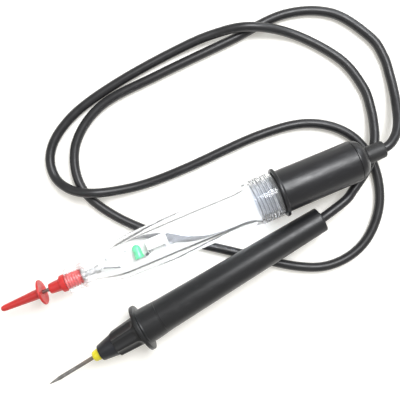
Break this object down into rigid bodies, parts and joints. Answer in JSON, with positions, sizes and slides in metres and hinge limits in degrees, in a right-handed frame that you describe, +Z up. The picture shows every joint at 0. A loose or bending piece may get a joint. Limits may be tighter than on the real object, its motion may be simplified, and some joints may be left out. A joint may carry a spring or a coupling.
{
  "type": "voltage tester",
  "caption": "Contact voltage tester: clear handset with green lamp, red capped needle and black rear cap, wired by one lead to a black hand probe.",
  "frame": {"origin": "middle of the footprint of the two handsets on the plane they lie on, the lead left out", "axes": "+Z up; the clear handset's axis is along X with its needle towards -X and its lead leaving towards +X; the probe lies on the -Y side"},
  "size_m": [0.2563, 0.1544, 0.0317],
  "materials": {
    "clear_plastic": "clear polished",
    "red_plastic": "glossy moulded",
    "black_plastic": "satin moulded",
    "blue_black_plastic": "satin moulded",
    "black_rubber": "matte",
    "seal_rubber": "matte",
    "lead_sheath": "satin extruded",
    "steel": "ground and worn",
    "tinned_wire": "dull tinned",
    "brass": "turned",
    "white_board": "solder resist",
    "green_lens": "tinted epoxy",
    "white_ceramic": "matte ceramic",
    "dark_epoxy": "matte",
    "white_pvc": "satin",
    "yellow_plastic": "glossy moulded"
  },
  "bodies": {
    "rear_unit": {"rear_cap": "black_plastic", "end_plug": "black_plastic", "cable_gland": "black_rubber", "cable_clamp": "brass", "board_carrier": "clear_plastic", "circuit_board": "white_board", "green_led": "green_lens", "block_resistor": "white_ceramic", "jumper_wire": "tinned_wire", "diode": "dark_epoxy", "contact_spring": "steel", "contact_cup": "brass", "lead_core": "white_pvc", "cable": "lead_sheath", "probe_barrel": "black_plastic", "probe_guard": "black_plastic", "probe_spring": "steel", "probe_terminal": "brass", "probe_grommet": "black_rubber"},
    "body_seal": {"cap_seal_ring": "seal_rubber"},
    "front_body": {"clear_body": "clear_plastic"},
    "nose_seal": {"nose_seal_ring": "seal_rubber"},
    "nose": {"red_nose": "red_plastic", "main_needle": "steel"},
    "tip_cover": {"needle_cap": "red_plastic"},
    "probe_seal": {"probe_seal_ring": "seal_rubber"},
    "probe_tip_unit": {"probe_nose": "black_plastic", "tip_bush": "blue_black_plastic", "yellow_ring": "yellow_plastic", "probe_needle": "steel"}
  },
  "joints": [
    {"name": "body_travel", "type": "slide", "parent": "rear_unit", "child": "body_seal", "axis": [-1, 0, 0], "range_m": [0, 0.012]},
    {"name": "body_turn", "type": "hinge", "parent": "body_seal", "child": "front_body", "pos_m": [0.05025, 0.01976, 0.0177], "axis": [-1, 0, 0], "range_deg": [0, 2170]},
    {"name": "nose_travel", "type": "slide", "parent": "front_body", "child": "nose_seal", "axis": [-1, 0, 0], "range_m": [0, 0.009]},
    {"name": "nose_turn", "type": "hinge", "parent": "nose_seal", "child": "nose", "pos_m": [-0.07475, 0.01976, 0.0177], "axis": [-1, 0, 0], "range_deg": [0, 2170]},
    {"name": "cap_pull", "type": "slide", "parent": "nose", "child": "tip_cover", "axis": [-1, 0, 0], "range_m": [0, 0.03]},
    {"name": "probe_nose_travel", "type": "slide", "parent": "rear_unit", "child": "probe_seal", "axis": [-0.989, -0.1478, 0], "range_m": [0, 0.0075]},
    {"name": "probe_nose_turn", "type": "hinge", "parent": "probe_seal", "child": "probe_tip_unit", "pos_m": [-0.04775, -0.02024, 0.0135], "axis": [-0.989, -0.1478, 0], "range_deg": [0, 1810]}
  ],
  "couplings": [
    {"joint": "body_turn", "follows": "body_travel", "rad_per_m": 3141.6},
    {"joint": "nose_turn", "follows": "nose_travel", "rad_per_m": 4188.8},
    {"joint": "probe_nose_turn", "follows": "probe_nose_travel", "rad_per_m": 4188.8}
  ]
}
